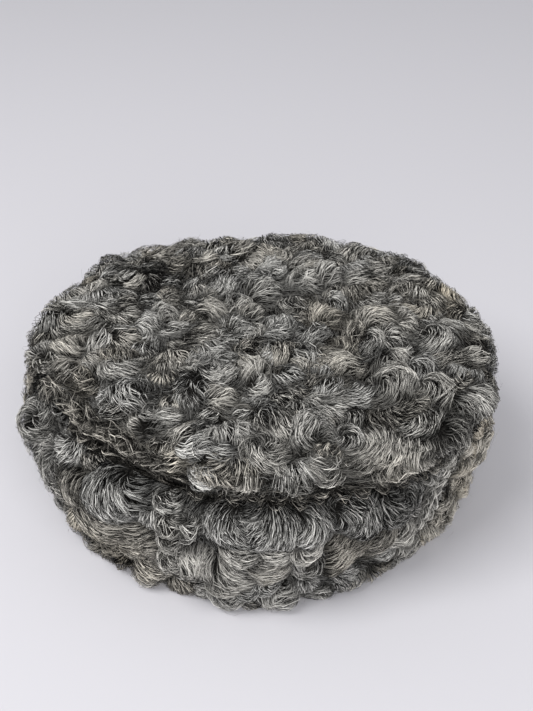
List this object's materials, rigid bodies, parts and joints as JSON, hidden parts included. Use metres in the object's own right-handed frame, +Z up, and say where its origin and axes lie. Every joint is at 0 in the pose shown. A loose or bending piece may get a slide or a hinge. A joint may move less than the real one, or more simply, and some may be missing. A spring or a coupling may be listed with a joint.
{
  "type": "karakul hat",
  "caption": "Round hat of curly grey lamb fur: a wide, low, rolled crown overhangs a bulging side band that is open below for the head.",
  "frame": {"origin": "on the surface that the rim rests on, below the middle of the hat's outline from above", "axes": "+Z up from the rim to the crown, -Y towards the front of the hat, +X to the right of someone facing that front"},
  "size_m": [0.2336, 0.229, 0.0922],
  "materials": {
    "grey_karakul_fur": "curly grey fur, black and white hairs mixed",
    "pale_karakul_fur": "curly grey fur with more white and cream hairs"
  },
  "bodies": {
    "root": {"crown_pelt": "grey_karakul_fur", "band_front": "grey_karakul_fur", "band_back": "pale_karakul_fur"}
  },
  "joints": []
}
